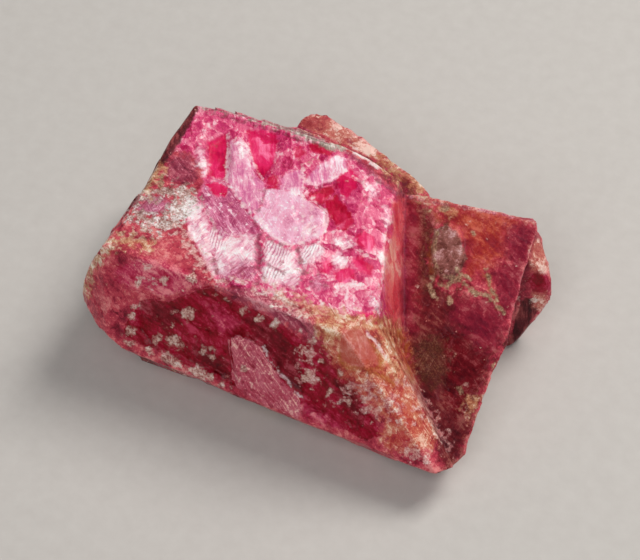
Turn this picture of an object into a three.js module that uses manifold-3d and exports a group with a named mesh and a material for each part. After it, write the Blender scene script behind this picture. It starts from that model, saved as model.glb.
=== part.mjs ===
// A raw spinel crystal group: a large flattened crystal and a second one that meet in a re-entrant valley,
// a third grown through behind them and a small tip at the right, all one solid piece.
// Millimetres, +Z up, X along the long edges, origin under the middle of the group on the surface it lies on.
import * as THREE from "three";
import { ConvexGeometry } from "three/addons/geometries/ConvexGeometry.js";
import { mergeVertices } from "three/addons/utils/BufferGeometryUtils.js";
import Module from "manifold-3d";

const wasm = await Module();
wasm.setup();

// Driving dimensions.
const TOP = 10.5; // height of the large top face at its left end
const LEFT = -13; // left edge of the top face
const FRONT = -7.4; // front ridge of the top face
const BACK = 7.3; // back edge of the top face
const RIM_FRONT = -10.75; // the furthest that the front face overhangs
const RIM_LEFT = -15.4; // the furthest that the left face overhangs
const VALLEY = 7.9; // height of the valley at the back
const STRIP_TOP = 6.8; // height of the third crystal's top face
const SKIN = 0.28; // thickness of the skin that has flaked off parts of the faces
const ROOT = 0.4; // how far raised growth reaches into the face that it stands on
const CLEAR = 0.8; // how far a cut reaches out of the face that it is made in
const PLATE = 0.16; // height of the plates on the top face
const CRUST = 0.12; // height of the crust on the top face
const TONGUE = 0.1; // height of the tongue of skin above the front face
const GRAIN = { x: 8.1, y: 4.1, long: 2.15, short: 1.2, turn: 109, height: 0.3 }; // an oval seen from above
const VEIN = { width: 0.3, height: 0.12 }; // the healed vein on the right-hand crystal
const LEDGE = { width: 0.22, height: 0.12, taper: 0.4 }; // a ledge on the bevel behind the top face
const LUMP = { radius: 0.42, width: 0.8, thickness: 0.55 }; // of crust; the last two are shares of its length
const LARGE_CHIP = { length: 1.6, depth: 0.22 };
const CHIP = { length: 1.4, depth: 0.2 };
const STRIP_CHIP = { length: 1.1, depth: 0.25 };
const TIP_CHIP = { length: 0.9, depth: 0.16 };
const LARGE_GROWTH = { size: 1.7, height: 0.25 };
const GROWTH = { size: 1.3, height: 0.22 };
const STRIP_GROWTH = { size: 1.1, height: 0.2 };
const PIT = { size: 0.75, height: -0.22 };
const SHOULDER_PIT = { size: 0.7, height: -0.15 };
const MERGE = 1e-4; // corners closer than this are one corner
const ON_FACE = 1e-5; // how far outside a face a corner may lie and still count as on it
const END_ON = 0.9; // a face whose normal has more of X than this looks along X

// The same pseudo-random numbers on every run, between 0 and 1.
const MULTIPLIER = 16807;
const MODULUS = 2147483647;
let state = 20;
function random() {
  state = (state * MULTIPLIER) % MODULUS;
  return state / MODULUS;
}
function between(low, high) {
  return low + (high - low) * random();
}
const SPREAD = 0.4; // how much a varied size differs from its mean, as a share
function varied(mean) {
  return mean * between(1 - SPREAD, 1 + SPREAD);
}

// A crystal face: a point on it and its outward normal, by angle round Z and elevation above the horizon.
function face(azimuth, elevation, x, y, z) {
  const a = THREE.MathUtils.degToRad(azimuth);
  const e = THREE.MathUtils.degToRad(elevation);
  const normal = new THREE.Vector3(Math.cos(a) * Math.cos(e), Math.sin(a) * Math.cos(e), Math.sin(e));
  const at = new THREE.Vector3(x, y, z);
  return { plane: new THREE.Plane(normal, -normal.dot(at)), at };
}

// The corner where three planes meet, or null where they don't meet in a point.
function corner(a, b, c) {
  const bc = new THREE.Vector3().crossVectors(b.normal, c.normal);
  const ca = new THREE.Vector3().crossVectors(c.normal, a.normal);
  const ab = new THREE.Vector3().crossVectors(a.normal, b.normal);
  const volume = a.normal.dot(bc);
  if (Math.abs(volume) < MERGE) return null;
  return bc.multiplyScalar(-a.constant)
    .addScaledVector(ca, -b.constant)
    .addScaledVector(ab, -c.constant)
    .divideScalar(volume);
}

// Every corner of the convex crystal inside a list of faces.
function cornersOf(faces) {
  const corners = [];
  for (let i = 0; i < faces.length; i++)
    for (let j = i + 1; j < faces.length; j++)
      for (let k = j + 1; k < faces.length; k++) {
        const p = corner(faces[i].plane, faces[j].plane, faces[k].plane);
        if (p && faces.every((f) => f.plane.distanceToPoint(p) < ON_FACE)) corners.push(p);
      }
  return corners;
}

function solidOf(geometry) {
  const bare = geometry.clone();
  bare.deleteAttribute("normal");
  bare.deleteAttribute("uv");
  const merged = mergeVertices(bare, MERGE);
  return new wasm.Manifold(new wasm.Mesh({
    numProp: 3,
    vertProperties: new Float32Array(merged.attributes.position.array),
    triVerts: new Uint32Array(merged.index.array),
  }));
}
function hullOf(points) {
  return solidOf(new ConvexGeometry(points));
}

// A frame on a face: u along +X in the face (or +Y where it looks along X), v across it, w outward.
function frameOn(f) {
  const w = f.plane.normal;
  const along = Math.abs(w.x) < END_ON ? new THREE.Vector3(1, 0, 0) : new THREE.Vector3(0, 1, 0);
  const u = along.addScaledVector(w, -along.dot(w)).normalize();
  const v = new THREE.Vector3().crossVectors(w, u);
  return new THREE.Matrix4().makeBasis(u, v, w).setPosition(f.at);
}

// A prism on a face with the given outline in the face's frame. Its ends lean by a slope along u and v.
function prism(f, outline, low, high, lean = [0, 0]) {
  const shape = new THREE.Shape(outline.map(([u, v]) => new THREE.Vector2(u, v)));
  const geometry = new THREE.ExtrudeGeometry(shape, { depth: 1, bevelEnabled: false });
  const position = geometry.attributes.position;
  const middle = new THREE.Box2().setFromPoints(shape.getPoints()).getCenter(new THREE.Vector2());
  for (let i = 0; i < position.count; i++) {
    const level = position.getZ(i) > 0.5 ? high : low;
    const rise = lean[0] * (position.getX(i) - middle.x) + lean[1] * (position.getY(i) - middle.y);
    position.setZ(i, level + rise);
  }
  return solidOf(geometry.applyMatrix4(frameOn(f)));
}
function raised(f, outline, height, lean) {
  return prism(f, outline, -ROOT, height, lean);
}
function recess(f, outline, depth, lean) {
  return prism(f, outline, -depth, CLEAR, lean);
}

// Triangular growth hillocks (or pits, where the height is negative) scattered over one face of a crystal.
// They all point the same way, as growth on one face does, and keep clear of its edges.
const TRIES = 400;
const REACH = 16; // half the span of the longest face
const BLUNT = 18; // degrees to each side of a triangle's corner where it is cut off
function growthOn(faces, name, count, { size, height }) {
  const f = faces[name];
  const others = Object.values(faces).filter((other) => other !== f);
  const frame = frameOn(f);
  const turn = between(0, 120);
  const grown = [];
  for (let i = 0; i < TRIES && grown.length < count; i++) {
    const u = between(-REACH, REACH);
    const v = between(-REACH, REACH);
    const radius = varied(size);
    const outline = [0, 120, 240].flatMap((third) => [-BLUNT, BLUNT].map((side) => {
      const angle = THREE.MathUtils.degToRad(turn + third + varied(side));
      return [u + radius * Math.cos(angle), v + radius * Math.sin(angle)];
    }));
    const clear = outline.every(([pu, pv]) => {
      const p = new THREE.Vector3(pu, pv, 0).applyMatrix4(frame);
      return others.every((other) => other.plane.distanceToPoint(p) < -ROOT);
    });
    if (!clear) continue;
    const step = varied(height);
    grown.push(step > 0 ? raised(f, outline, step) : recess(f, outline, -step));
  }
  return grown;
}

// Chips along the edge between two faces of a crystal: each is a shallow notch with its own length and depth.
const CHIP_MOUTH = 0.6; // length of a chip's cutter clear of the edge, beside its length on it
function chipsOn(faces, nameA, nameB, count, { length, depth }) {
  const [a, b] = [faces[nameA].plane, faces[nameB].plane];
  const ends = cornersOf(Object.values(faces))
    .filter((p) => Math.abs(a.distanceToPoint(p)) < MERGE && Math.abs(b.distanceToPoint(p)) < MERGE);
  const start = ends[0];
  const end = ends.reduce((far, p) => (p.distanceTo(start) > far.distanceTo(start) ? p : far), start);
  const along = end.clone().sub(start).normalize();
  const awayOn = (own, other) => {
    const t = new THREE.Vector3().crossVectors(along, own.normal);
    return t.dot(other.normal) < 0 ? t : t.negate();
  };
  const outward = a.normal.clone().add(b.normal).normalize();
  const chips = [];
  for (let i = 0; i < count; i++) {
    const middle = start.clone().lerp(end, (i + between(0.1, 0.9)) / count);
    const half = varied(length / 2);
    const at = (side, direction, distance) =>
      middle.clone().addScaledVector(along, side * half).addScaledVector(direction, distance);
    chips.push(hullOf([
      at(-1, outward, 0),
      at(1, outward, 0),
      at(-CHIP_MOUTH, outward, CLEAR),
      at(CHIP_MOUTH, outward, CLEAR),
      at(between(-0.5, 0.5), awayOn(a, b), varied(depth)),
      at(between(-0.5, 0.5), awayOn(b, a), varied(depth)),
    ]));
  }
  return chips;
}

function joined(solid, pieces) {
  return pieces.reduce((sum, piece) => sum.add(piece), solid);
}
function cut(solid, pieces) {
  return pieces.reduce((rest, piece) => rest.subtract(piece), solid);
}
function crystal(faces) {
  return hullOf(cornersOf(Object.values(faces)));
}

const bottom = face(0, -90, 0, 0, 0);

const leftFaces = {
  top: face(0, 88.6, LEFT, 0, TOP),
  front: face(-90, 25, 0, FRONT, TOP),
  left: face(180, 21, LEFT, 0, TOP),
  backBevel: face(89, 70, LEFT, BACK, TOP),
  backLeft: face(101, 8, -5.8, 8.8, 9.9),
  backRight: face(80, 8, -5.8, 8.8, 9.9),
  shoulder: face(23, 68, 0.4, 7.4, 10.17),
  valleySide: face(17, 18, 4.95, 3.4, 6.5),
  frontEnd: face(-18, 43, 5.1, FRONT - 0.2, 10.05),
  corner: face(-118, 18, LEFT, FRONT - 0.2, TOP - 0.4),
  cornerSide: face(-150, 10, -15, -7.9, 4.6),
  undercutCorner: face(-126, -32, -13.6, -9.2, 4.1),
  undercutFront: face(-90, -35, 0, RIM_FRONT, 3.4),
  undercutLeft: face(180, -30, RIM_LEFT, 0, 4.2),
  undercutBack: face(90, -25, 0, 9.6, 4),
  bottom,
};

const rightFaces = {
  upper: face(-113, 72, 3.53, 7.16, VALLEY),
  lower: face(-119, 61, 14.38, -0.79, 6.9),
  front: face(-90, 25, 0, FRONT, TOP),
  right: face(12, -21, 14.4, 0, 7.1),
  chamfer: face(-20, -38, 14.6, -8.6, 3.1),
  backBevel: face(103, 62, 7.8, 7.7, 8.55),
  back: face(95, 10, 8, 7.75, 8.5),
  backCorner: face(42, 25, 13.3, 7.65, 9.1),
  left: face(180, 0, 0, 0, 0),
  undercutFront: face(-90, -35, 0, RIM_FRONT, 3.2),
  undercutBack: face(90, -25, 0, 9, 4),
  bottom,
};

const backFaces = {
  top: face(10, 87, -6, 12.7, STRIP_TOP + 0.2),
  end: face(178, 8, -6.95, 12.1, STRIP_TOP),
  endCorner: face(139, 8, -6.7, 12.6, STRIP_TOP),
  backEnd: face(105, 8, -6, 12.95, STRIP_TOP),
  backLeft: face(77, 8, -4.4, 12.85, STRIP_TOP),
  backMiddle: face(67, 8, 0.25, 11.3, STRIP_TOP),
  backRight: face(58, 8, 3.9, 9.45, STRIP_TOP),
  front: face(-90, 0, 0, 4, 0),
  right: face(0, 0, 12, 0, 0),
  undercut: face(75, -25, -4, 13.8, 3),
  bottom,
};

const tipFaces = {
  upper: face(-5, 38, 14, 7, 7.4),
  outer: face(35, 5, 15.5, 6.3, 4.8),
  front: face(-62, 12, 15.4, 5.9, 4.6),
  lower: face(-25, -24, 15.2, 5.4, 2.9),
  undercut: face(40, -35, 15.2, 6.6, 3.6),
  back: face(88, 5, 12, 8.3, 6),
  left: face(180, 0, 13, 0, 0),
  bottom,
};

// The broken spur that fills the front end of the valley, between the front face and the right-hand crystal.
const spurCorners = [
  [5.1, -7.6, 10],
  [6, -5, 9.9],
  [6.8, -2, 4.4],
  [9.5, -4.9, 3.6],
  [14.1, -9.4, 2.7],
  [13.4, -10.75, 3.2],
  [10.8, -10.8, 3.2],
  [12, -8.6, 0],
  [6, -8.6, 0],
  [2, -4, 0],
  [2, -7.6, 9.9],
  [2, -4, 9.9],
];

// What has flaked off or healed on the top face, in its own frame: u from the left edge, v to the back.
const topWindows = [
  { outline: [[2.2, 4.3], [3.1, 5.8], [4.3, 3.5], [5, 1.6], [3.7, 1.4]], lean: [0.03, 0] },
  {
    outline: [[3.9, 6.8], [5.2, 6.9], [6.9, 6.6], [7.4, 4.9], [7.3, 2.8], [6.3, 3.4], [4.9, 5.3]],
    lean: [-0.03, 0],
  },
  { outline: [[10.6, 2.7], [11.3, 4.2], [12.4, 5.2], [14, 2], [13.6, 0.6], [12, 1.8]], lean: [0.04, 0.02] },
];
const topPlates = [
  {
    outline: [
      [7.1, 1.4], [8.7, 2.8], [10.3, 2.9], [12.7, 1.9], [13.7, -1.2], [12.3, -3.3], [9.9, -2.6], [7.8, -0.5],
    ],
    lean: [0.02, 0.02],
  },
  { outline: [[7.5, -3.4], [9.2, -2.4], [11, -6.1], [9.7, -7], [7.7, -6.1]], lean: [0.03, -0.02] },
  {
    outline: [[10, -3.2], [12.4, -3.5], [14.8, -4.6], [15.6, -6.8], [13, -6.7], [11.5, -6.1]],
    lean: [-0.02, 0.03],
  },
  { outline: [[12.3, -1.8], [13.5, -0.6], [14.5, -1.8], [14.2, -3.2], [12.9, -3]], lean: [0.05, 0] },
  {
    outline: [[3.4, 6.2], [4.6, 5.1], [6.6, 2.9], [7.6, 2.2], [7.8, -0.4], [6.6, 0.5], [5.1, 1.8]],
    lean: [0, 0.01],
  },
];
const crust = [[0.2, -2.8], [0.2, -0.4], [2.5, -0.1], [5.6, -1.7], [6.1, -4.3], [3.2, -5.4], [0.4, -6.1]];

// The flaked part of the front face, the tongue of skin left on it and the rim below, with v up the slope.
const frontWindow = [
  [-1.5, -0.6], [-4.8, -0.4], [-6.3, -1.3], [-7.7, -2.4], [-9.7, -3.3], [-10, -4.2], [-9.6, -5.8],
  [-8.4, -6.8], [-1.4, -7], [3.2, -7.1], [5, -6.9], [4.6, -3.6], [3.6, -1.4], [1.9, -0.6],
];
const tongue = [
  [-2.9, -3.7], [-1.9, -3.2], [-0.8, -3.4], [0.1, -4], [1.1, -5.2], [2.6, -5.8], [3.4, -6.6],
  [3.3, -7.4], [0.4, -7.4], [-1.5, -7.4], [-2.5, -5.3],
];

// Ledges on the bevel behind the top face: start and end along it, and distance from its upper edge.
const ledges = [[1.2, 10.8, 0.4], [2.6, 10.2, 0.75], [4.6, 9.4, 1.1]];

// The healed vein that runs from the grain to the right edge, from above.
const vein = [[8.7, 1.9], [9.6, 2.4], [10.7, 2.2], [11.9, 2], [12.9, 1.1], [13.7, 0.2]];

// The point over x, y that lies on the lowest of the given faces, lifted by a height.
function over(faces, x, y, lift) {
  const line = new THREE.Line3(new THREE.Vector3(x, y, -TOP), new THREE.Vector3(x, y, 2 * TOP));
  const points = faces.map((f) => f.plane.intersectLine(line, new THREE.Vector3()));
  const lowest = points.reduce((low, p) => (p.z < low.z ? p : low));
  return lowest.setZ(lowest.z + lift);
}

// The grain is a flat-topped oval with a sloping rim.
const GRAIN_SIDES = 11;
const GRAIN_TOP = 0.8; // size of its flat top beside its foot
function grainOn(faces) {
  const turn = THREE.MathUtils.degToRad(GRAIN.turn);
  const levels = [[1, -ROOT], [1, GRAIN.height / 3], [GRAIN_TOP, GRAIN.height]];
  const points = [];
  for (let i = 0; i < GRAIN_SIDES; i++)
    for (const [scale, lift] of levels) {
      const angle = (i / GRAIN_SIDES) * 2 * Math.PI;
      const u = GRAIN.long * scale * Math.cos(angle);
      const v = GRAIN.short * scale * Math.sin(angle);
      const x = GRAIN.x + u * Math.cos(turn) - v * Math.sin(turn);
      const y = GRAIN.y + u * Math.sin(turn) + v * Math.cos(turn);
      points.push(over(faces, x, y, lift));
    }
  return hullOf(points);
}

// The vein is a low ridge, one hull from each bend to the next.
function veinOn(faces) {
  const section = [[-VEIN.width / 2, -ROOT], [VEIN.width / 2, -ROOT], [0, VEIN.height]];
  return vein.slice(1).map((end, i) => hullOf([vein[i], end].flatMap(([x, y]) =>
    section.map(([side, lift]) => over(faces, x + side, y + side, lift)))));
}

// Small flattened lumps of crust, half sunk in a face, spread over a patch of it from start to end along u.
const crustPatch = { start: 0.8, end: 5.2, low: -4.6, high: -1 };
const rimPatch = { start: -10.5, end: 10, low: -7.2, high: -6.8 };
function lumpsOn(f, count, { start, end, low, high }) {
  const frame = frameOn(f);
  const lumps = [];
  for (let i = 0; i < count; i++) {
    const u = start + (end - start) * ((i + random()) / count);
    const lump = new THREE.IcosahedronGeometry(varied(LUMP.radius), 0);
    lump.rotateZ(between(0, Math.PI));
    lump.scale(1, LUMP.width, LUMP.thickness);
    lump.translate(u, between(low, high), 0);
    lumps.push(solidOf(lump.applyMatrix4(frame)));
  }
  return lumps;
}

// A ledge's outline: its outer side is shorter at both ends.
function ledgeOutline(start, end, v) {
  const inner = v - LEDGE.width;
  return [[start, v], [end, v], [end - LEDGE.taper, inner], [start + LEDGE.taper, inner]];
}

// Each crystal is cut to its faces, chipped along its edges, and then carries what has grown on it.
// An edge is named by its two faces, with the number of chips along it.
function leftCrystal() {
  const f = leftFaces;
  const edges = [
    ["top", "front", 9], ["top", "left", 8], ["top", "backBevel", 5], ["front", "undercutFront", 14],
    ["left", "undercutLeft", 7], ["backBevel", "backLeft", 4], ["backLeft", "undercutBack", 5],
    ["front", "corner", 3], ["corner", "undercutCorner", 2], ["top", "shoulder", 3],
    ["bottom", "undercutFront", 3], ["bottom", "undercutLeft", 2], ["bottom", "undercutBack", 3],
  ];
  let solid = cut(crystal(f), edges.flatMap(([a, b, count]) => chipsOn(f, a, b, count, LARGE_CHIP)));
  solid = cut(solid, topWindows.map((window) => recess(f.top, window.outline, SKIN, window.lean)));
  solid = cut(solid, [recess(f.front, frontWindow, SKIN)]);
  solid = cut(solid, growthOn(f, "shoulder", 3, SHOULDER_PIT));
  solid = joined(solid, topPlates.map((plate) => raised(f.top, plate.outline, PLATE, plate.lean)));
  solid = joined(solid, [raised(f.top, crust, CRUST)]);
  solid = joined(solid, [raised(f.front, tongue, TONGUE)]);
  solid = joined(solid, lumpsOn(f.top, 9, crustPatch));
  solid = joined(solid, lumpsOn(f.front, 9, rimPatch));
  solid = joined(solid, ledges.map((ledge) => raised(f.backBevel, ledgeOutline(...ledge), LEDGE.height)));
  for (const name of ["left", "undercutLeft", "undercutFront", "undercutBack", "backLeft", "backRight"]) {
    solid = cut(solid, growthOn(f, name, 2, PIT));
    solid = joined(solid, growthOn(f, name, 4, LARGE_GROWTH));
  }
  return solid;
}

function rightCrystal() {
  const f = rightFaces;
  const edges = [
    ["upper", "right", 4], ["lower", "right", 5], ["upper", "backBevel", 4], ["backBevel", "back", 4],
    ["lower", "chamfer", 2], ["lower", "undercutFront", 3], ["back", "undercutBack", 4],
  ];
  let solid = cut(crystal(f), edges.flatMap(([a, b, count]) => chipsOn(f, a, b, count, CHIP)));
  for (const name of ["right", "back", "undercutBack", "undercutFront"]) {
    solid = cut(solid, growthOn(f, name, 2, PIT));
    solid = joined(solid, growthOn(f, name, 3, GROWTH));
  }
  return joined(solid, [grainOn([f.upper, f.lower]), ...veinOn([f.upper, f.lower])]);
}

function backCrystal() {
  const f = backFaces;
  const sides = ["end", "endCorner", "backEnd", "backLeft", "backMiddle", "backRight"];
  let solid = cut(crystal(f), sides.flatMap((name) => chipsOn(f, "top", name, 2, STRIP_CHIP)));
  for (const name of ["backLeft", "backMiddle", "backRight", "undercut"]) {
    solid = cut(solid, growthOn(f, name, 2, PIT));
    solid = joined(solid, growthOn(f, name, 3, STRIP_GROWTH));
  }
  return solid;
}

function tipCrystal() {
  const f = tipFaces;
  const edges = [["upper", "outer"], ["front", "outer"], ["upper", "front"]];
  return cut(crystal(f), edges.flatMap(([a, b]) => chipsOn(f, a, b, 2, TIP_CHIP)));
}

function spur() {
  return hullOf(spurCorners.map((p) => new THREE.Vector3(...p)));
}

function meshOf(solid, name, material) {
  const { numVert, numProp, vertProperties, triVerts } = solid.getMesh();
  const points = new Float32Array(numVert * 3);
  for (let i = 0; i < numVert; i++) points.set(vertProperties.subarray(i * numProp, i * numProp + 3), i * 3);
  const geometry = new THREE.BufferGeometry();
  geometry.setAttribute("position", new THREE.BufferAttribute(points, 3));
  geometry.setIndex(new THREE.BufferAttribute(triVerts, 1));
  geometry.computeBoundingBox();
  const middle = geometry.boundingBox.getCenter(new THREE.Vector3());
  geometry.translate(-middle.x, -middle.y, -geometry.boundingBox.min.z);
  geometry.computeVertexNormals();
  const mesh = new THREE.Mesh(geometry, material);
  mesh.name = name;
  return mesh;
}

const spinel = new THREE.MeshStandardMaterial({ color: 0xa82a4a, roughness: 0.35, metalness: 0 });
const whole = joined(leftCrystal(), [rightCrystal(), backCrystal(), tipCrystal(), spur()]);
const group = new THREE.Group();
group.add(meshOf(whole, "spinel_crystal", spinel));
export default group;
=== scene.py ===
import math
from collections import namedtuple

import bmesh
import bpy
import numpy as np
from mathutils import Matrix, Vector, noise
from mathutils.bvhtree import BVHTree
from mathutils.geometry import delaunay_2d_cdt


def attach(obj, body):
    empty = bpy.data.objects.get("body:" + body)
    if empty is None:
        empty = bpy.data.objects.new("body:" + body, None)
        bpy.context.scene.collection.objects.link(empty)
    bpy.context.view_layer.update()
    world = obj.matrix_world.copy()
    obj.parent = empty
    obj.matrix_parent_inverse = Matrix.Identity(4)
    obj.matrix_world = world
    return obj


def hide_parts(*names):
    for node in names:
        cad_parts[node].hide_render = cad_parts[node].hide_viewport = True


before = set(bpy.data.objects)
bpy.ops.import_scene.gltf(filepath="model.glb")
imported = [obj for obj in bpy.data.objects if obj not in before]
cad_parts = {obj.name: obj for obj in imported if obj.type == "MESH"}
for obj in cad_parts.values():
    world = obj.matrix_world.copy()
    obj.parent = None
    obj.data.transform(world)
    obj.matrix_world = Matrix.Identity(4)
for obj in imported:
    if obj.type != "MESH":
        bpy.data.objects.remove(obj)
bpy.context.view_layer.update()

# The raw spinel crystal's looks. The CAD solid gives its faces, valley, ledges and chips. Here its surface is
# divided finely, worn, roughened and given one node material. Where each kind of surface lies is drawn in
# outlines on the image, in pixels, and cast from the camera onto the crystal's faces.
NODE = "spinel_crystal"
MM = 0.001

# The camera looks at this point, 5 mm up: near the group's middle from left to right, and halfway between
# the front and back edges of the large top face.
AIM = Vector((-0.2043, -1.4859, 5)) * MM
AZIMUTH = math.radians(24)
ELEVATION = math.radians(50)
DISTANCE = 0.165  # in metres
WIDTH = 640  # of the image, in pixels
HEIGHT = 560
FOCAL_PIXELS = 2300
SENSOR = 36
PIXELS_PER_MM = FOCAL_PIXELS * MM / DISTANCE
BACK = Vector((
    math.sin(AZIMUTH) * math.cos(ELEVATION),
    -math.cos(AZIMUTH) * math.cos(ELEVATION),
    math.sin(ELEVATION),
))
RIGHT = Vector((math.cos(AZIMUTH), math.sin(AZIMUTH), 0))
UP = BACK.cross(RIGHT)
EYE = AIM + BACK * DISTANCE

# How the surface is divided: the triangles' sides in mm on faces towards the camera, on others and below.
FINE = 0.112
COARSE = 0.27
UNDERNEATH = 0.6
JITTER = 0.2  # how far a face's inner points lie off an even grid, in triangles' sides
MARGIN = 0.45  # how far inside its border they stay, in the same
FLAT = math.cos(math.radians(0.5))  # neighbours that turn less than this are one flat face
SLIVER = 2e-5  # a triangle lower than this, in mm, is only a line on a face's border
TOGETHER = 0.012  # corners nearer than this, in mm, are one

# How it is worn, roughened and painted.
FOOT = 0.35 * MM  # from here down swells, wear and relief fade out, and it lies as the CAD solid does
WEAR_ROUNDS = 24  # how many rounds of evening wear the surface
LEAST_WEAR = 0.12  # what share of that any point has
WORN = {"rose": -0.3, "glass": 0.7, "tongue": 0.4, "valley": 0.3}  # how far outside a kind more begins, in mm
WEAR_BORDER = 0.3  # and over how many mm it comes in
BULGE = 0.1  # how far outside the smoothed surface an outer edge stands, in mm
WRAP = 1.2  # what lies less than this behind what the camera sees, in mm, is painted as that is
CLEAR = 0.02  # how far off the surface a line of sight starts, in mm
REACH = 1.0  # distances from a kind's border are kept up to this, in mm
WILD_SIZE = 4  # the size of the patches where the camera doesn't see, in mm
WILD_SPREAD = 1.5  # how strongly they vary
PIECE_SIZE = 1.1  # of the broken pieces, in mm
BEND = 0.22  # how far their borders are bent, in pieces
RIM = 0.25  # on a rim the next piece's centre is less than this further off than its own, in pieces
RELIEF_BORDER = 0.1  # a kind's relief comes in over this, in mm
TILT_BORDER = 0.5  # the tilt of its broken pieces comes in over this
WAVES = 0.03  # the height of the gentle waves everywhere, in mm
WAVE_SIZE = 2.5  # and their length, in mm
BUMP = 0.05 * MM  # the depth of the relief that only the light shows
LINE_GAP = 0.22  # how far apart the hatching's lines are, in mm
PAINTED_EDGE_AND_HOLLOW_SHADE = 0.45  # how strongly outer edges are painted lighter and hollows darker, as painted highlight and painted shade
SCATTER = 0.4 * MM  # how deep light goes into the surface
FLOOR = 1.5  # how far the floor goes each way, in metres


def image_pixels(points):
    """Where points in metres lie on the image, in pixels from its top left."""
    offset = points - np.array(EYE)
    depth = -(offset @ np.array(BACK))
    x = WIDTH / 2 + FOCAL_PIXELS * (offset @ np.array(RIGHT)) / depth
    y = HEIGHT / 2 - FOCAL_PIXELS * (offset @ np.array(UP)) / depth
    return np.stack([x, y], axis=1)


def merged(mesh):
    """The CAD mesh's corners in mm, each once, and its triangles."""
    mesh.calc_loop_triangles()
    points = np.empty(len(mesh.vertices) * 3)
    mesh.vertices.foreach_get("co", points)
    triangles = np.empty(len(mesh.loop_triangles) * 3, np.int32)
    mesh.loop_triangles.foreach_get("vertices", triangles)
    corners, index = np.unique(np.round(points.reshape(-1, 3) / MM, 5), axis=0, return_inverse=True)
    triangles = index.reshape(-1)[triangles].reshape(-1, 3)
    distinct = (triangles != np.roll(triangles, 1, axis=1)).all(axis=1)
    return corners, triangles[distinct]


def crosses(points, triangles):
    """Each triangle's normal, as long as twice its area."""
    a, b, c = (points[triangles[:, i]] for i in range(3))
    return np.cross(b - a, c - a)


def unit(vectors):
    return vectors / np.maximum(np.linalg.norm(vectors, axis=1), 1e-12)[:, None]


def flat_faces(points, triangles):
    """The rows of the triangles of each flat face, and all the triangles' normals."""
    normals = unit(crosses(points, triangles))
    leader = list(range(len(triangles)))

    def find(i):
        while leader[i] != i:
            leader[i] = leader[leader[i]]
            i = leader[i]
        return i

    owner = {}
    for i, triangle in enumerate(triangles):
        for a, b in zip(triangle, np.roll(triangle, -1)):
            other = owner.setdefault((min(a, b), max(a, b)), i)
            if other != i and normals[i] @ normals[other] > FLAT:
                leader[find(i)] = find(other)
    faces = {}
    for i in range(len(triangles)):
        faces.setdefault(find(i), []).append(i)
    return list(faces.values()), normals


def border_of(triangles):
    """The directed edges of a face that no other triangle of it shares."""
    edges = [(a, b) for t in triangles for a, b in ((t[0], t[1]), (t[1], t[2]), (t[2], t[0]))]
    known = set(edges)
    return [(a, b) for a, b in edges if (b, a) not in known]


def nearest_and_inside(points, starts, ends):
    """Each 2D point's distance to the nearest of some line pieces, and whether they close round it."""
    nearest = np.full(len(points), np.inf)
    inside = np.zeros(len(points), bool)
    x, y = points[:, 0], points[:, 1]
    for (ax, ay), (bx, by) in zip(starts, ends):
        dx, dy = bx - ax, by - ay
        share = np.clip(((x - ax) * dx + (y - ay) * dy) / max(dx * dx + dy * dy, 1e-12), 0, 1)
        nearest = np.minimum(nearest, np.hypot(x - ax - share * dx, y - ay - share * dy))
        if ay != by:
            inside ^= ((ay > y) != (by > y)) & (x < ax + (y - ay) * dx / dy)
    return nearest, inside


def spacing_of(normal, middle):
    """How long the sides of a face's triangles are, in mm."""
    if normal[2] < -0.9:
        return UNDERNEATH
    towards = normal @ (np.array(EYE) / MM - middle) > 0
    return FINE if towards else COARSE


def divided(corners, borders, spacings):
    """The corners and the points that divide the edges, and the rows of points along each edge."""
    step = {}
    for border, spacing in zip(borders, spacings):
        for a, b in border:
            key = (min(a, b), max(a, b))
            step[key] = min(step.get(key, np.inf), spacing)
    points = [tuple(p) for p in corners]
    chain = {}
    for (a, b), spacing in step.items():
        count = max(1, round(np.linalg.norm(corners[b] - corners[a]) / spacing))
        chain[a, b] = [a] + [len(points) + i for i in range(count - 1)] + [b]
        points += [tuple(corners[a] + (corners[b] - corners[a]) * i / count) for i in range(1, count)]
    return points, chain


def scattered(starts, ends, spacing, random):
    """Points spread over a flat face, near an even grid and clear of its border."""
    low, high = starts.min(axis=0), starts.max(axis=0)
    columns = np.arange(low[0], high[0], spacing)
    lines = np.arange(low[1], high[1], spacing * math.sqrt(3) / 2)
    x, y = np.meshgrid(columns, lines)
    x = x + spacing / 2 * (np.arange(len(lines)) % 2)[:, None]
    inner = np.stack([x.ravel(), y.ravel()], axis=1)
    inner = inner + random.uniform(-JITTER, JITTER, inner.shape) * spacing
    nearest, inside = nearest_and_inside(inner, starts, ends)
    return inner[inside & (nearest > spacing * MARGIN)]


def filled(points, edges, starts, ends):
    """The triangles between a flat face's points, as rows of them."""
    out, _, cells, sources, _, _ = delaunay_2d_cdt([Vector(p) for p in points], edges, [], 0, 1e-7)
    out = np.array(out)
    cells = np.array(cells)
    a, b, c = (out[cells[:, i]] for i in range(3))
    area = (b - a)[:, 0] * (c - a)[:, 1] - (b - a)[:, 1] * (c - a)[:, 0]
    _, keep = nearest_and_inside((a + b + c) / 3, starts, ends)
    longest = np.maximum.reduce([np.hypot(*(p - q).T) for p, q in ((a, b), (b, c), (c, a))])
    keep &= np.abs(area) > SLIVER * longest
    cells = np.where((area > 0)[:, None], cells, cells[:, ::-1])[keep]
    return np.array([source[0] for source in sources])[cells]


def welded(points, triangles):
    """The surface with corners that lie almost together made one, and without loose corners."""
    mesh = bpy.data.meshes.new("welded")
    mesh.from_pydata(points.tolist(), [], triangles.tolist())
    work = bmesh.new()
    work.from_mesh(mesh)
    bpy.data.meshes.remove(mesh)
    bmesh.ops.remove_doubles(work, verts=work.verts, dist=TOGETHER)
    bmesh.ops.delete(work, geom=[v for v in work.verts if not v.link_faces], context="VERTS")
    work.verts.index_update()
    points = np.array([v.co for v in work.verts])
    triangles = np.array([[v.index for v in f.verts] for f in work.faces])
    work.free()
    return points, triangles


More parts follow.
